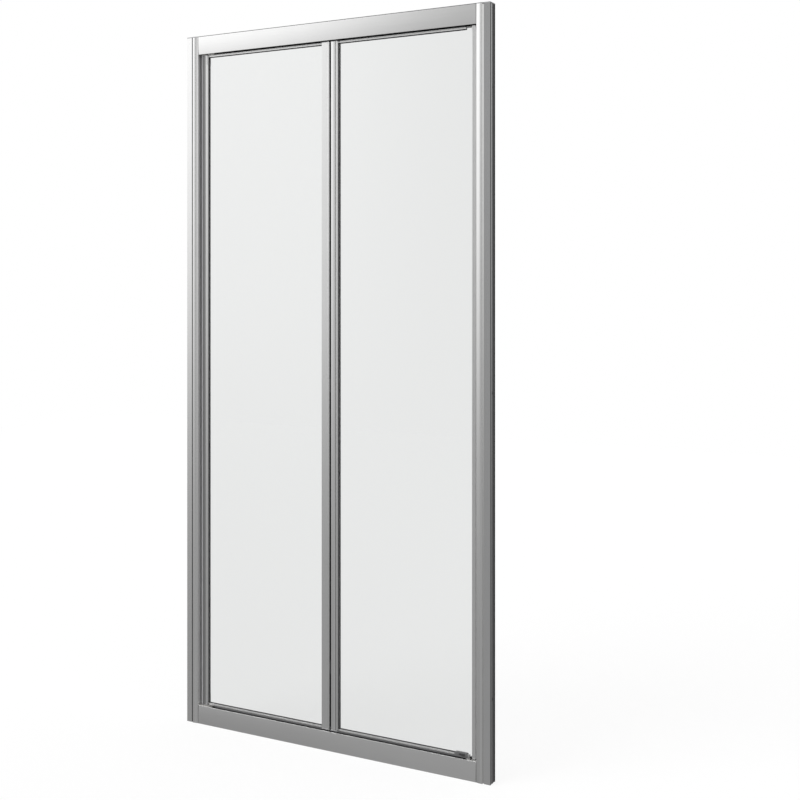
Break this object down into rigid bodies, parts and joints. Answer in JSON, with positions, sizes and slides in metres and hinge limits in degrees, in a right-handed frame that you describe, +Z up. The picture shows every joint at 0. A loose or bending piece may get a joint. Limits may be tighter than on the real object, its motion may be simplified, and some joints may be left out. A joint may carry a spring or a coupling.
{
  "type": "folding shower door",
  "caption": "Framed folding shower door: clear glass panels hinged together in satin metal stiles, turning on a side pivot, hung from a roller carriage and guided by a shoe.",
  "frame": {"origin": "middle of the underside of the bottom rail, halfway between the front and rear faces of the frame", "axes": "+X from the pivot side to the closing side, +Y from the front face into the shower, +Z up"},
  "size_m": [0.9, 0.04, 1.85],
  "materials": {
    "satin_aluminium": "satin anodised",
    "clear_glass": "clear, smooth",
    "dark_gasket": "soft, matt",
    "grey_seal": "soft, matt",
    "grey_plastic": "fine moulded",
    "pale_magnet_strip": "soft extruded",
    "magnet_bar": "matt bonded magnet",
    "white_nylon": "fine moulded",
    "stainless_steel": "turned",
    "satin_leaf": "satin",
    "black_plastic": "fine textured",
    "black_rubber": "matt"
  },
  "bodies": {
    "frame": {"left_wall_channel": "satin_aluminium", "right_wall_channel": "satin_aluminium", "left_jamb": "satin_aluminium", "right_jamb": "satin_aluminium", "bottom_rail_fascia": "satin_aluminium", "bottom_rail": "satin_aluminium", "bottom_rail_rear": "satin_aluminium", "guide_strip": "grey_plastic", "top_rail": "satin_aluminium", "left_top_cap": "grey_plastic", "right_top_cap": "grey_plastic", "frame_screws": "stainless_steel", "top_pivot_block": "white_nylon", "bottom_pivot_block": "white_nylon", "pivot_washer": "white_nylon", "pivot_seal": "grey_seal", "jamb_magnet_strip": "pale_magnet_strip", "jamb_magnet_bar": "magnet_bar", "track_stop": "black_rubber"},
    "pivot_panel": {"pivot_stile": "satin_aluminium", "near_hinge_stile": "satin_aluminium", "pivot_glass": "clear_glass", "pivot_glass_gaskets": "dark_gasket", "pivot_bottom_trim": "satin_aluminium", "pivot_top_trim": "satin_aluminium", "pivot_top_cap": "grey_plastic", "pivot_bottom_cap": "grey_plastic", "top_pivot_pin": "stainless_steel", "bottom_pivot_pin": "stainless_steel", "near_hinge_end_caps": "grey_plastic", "hinge_pins": "stainless_steel"},
    "leading_panel": {"far_hinge_stile": "satin_aluminium", "leading_stile": "satin_aluminium", "leading_glass": "clear_glass", "leading_glass_gaskets": "dark_gasket", "leading_bottom_trim": "satin_aluminium", "leading_top_trim": "satin_aluminium", "far_hinge_end_caps": "grey_plastic", "centre_seal": "dark_gasket", "leading_magnet_strip": "pale_magnet_strip", "leading_magnet_bar": "magnet_bar", "hanger_bracket": "satin_leaf", "guide_bracket": "satin_leaf", "roller_stud": "stainless_steel", "stud_nut": "stainless_steel", "guide_stud": "stainless_steel", "release_housing": "black_plastic", "hinge_leaves": "satin_leaf"},
    "top_carriage": {"roller_carriage": "white_nylon", "roller_axles": "stainless_steel"},
    "rear_rollers": {"rollers_rear": "white_nylon"},
    "lead_rollers": {"rollers_lead": "white_nylon"},
    "bottom_shoe": {"guide_shoe": "white_nylon"},
    "release": {"release_slider": "black_plastic"}
  },
  "joints": [
    {"name": "pivot_hinge", "type": "hinge", "parent": "frame", "child": "pivot_panel", "pos_m": [-0.399, 0.001, 0.05], "axis": [0, 0, 1], "range_deg": [0, 80]},
    {"name": "centre_hinge", "type": "hinge", "parent": "pivot_panel", "child": "leading_panel", "pos_m": [-0.004, -0.01, 0.05], "axis": [0, 0, 1], "range_deg": [-160, 0]},
    {"name": "carriage_swivel", "type": "hinge", "parent": "leading_panel", "child": "top_carriage", "pos_m": [0.391, 0.001, 1.815], "axis": [0, 0, 1], "range_deg": [0, 80]},
    {"name": "shoe_swivel", "type": "hinge", "parent": "leading_panel", "child": "bottom_shoe", "pos_m": [0.391, 0.001, 0.038], "axis": [0, 0, 1], "range_deg": [0, 80]},
    {"name": "rear_roller_spin", "type": "hinge", "parent": "top_carriage", "child": "rear_rollers", "pos_m": [0.379, 0.001, 1.8323], "axis": [0, 1, 0], "continuous": true},
    {"name": "lead_roller_spin", "type": "hinge", "parent": "top_carriage", "child": "lead_rollers", "pos_m": [0.403, 0.001, 1.8323], "axis": [0, 1, 0], "continuous": true},
    {"name": "release_slide", "type": "slide", "parent": "leading_panel", "child": "release", "axis": [-1, 0, 0], "range_m": [0, 0.005], "stiffness_N_per_m": 150}
  ],
  "couplings": [
    {"joint": "centre_hinge", "follows": "pivot_hinge", "ratio": -2},
    {"joint": "carriage_swivel", "follows": "pivot_hinge", "ratio": 1},
    {"joint": "shoe_swivel", "follows": "pivot_hinge", "ratio": 1}
  ]
}
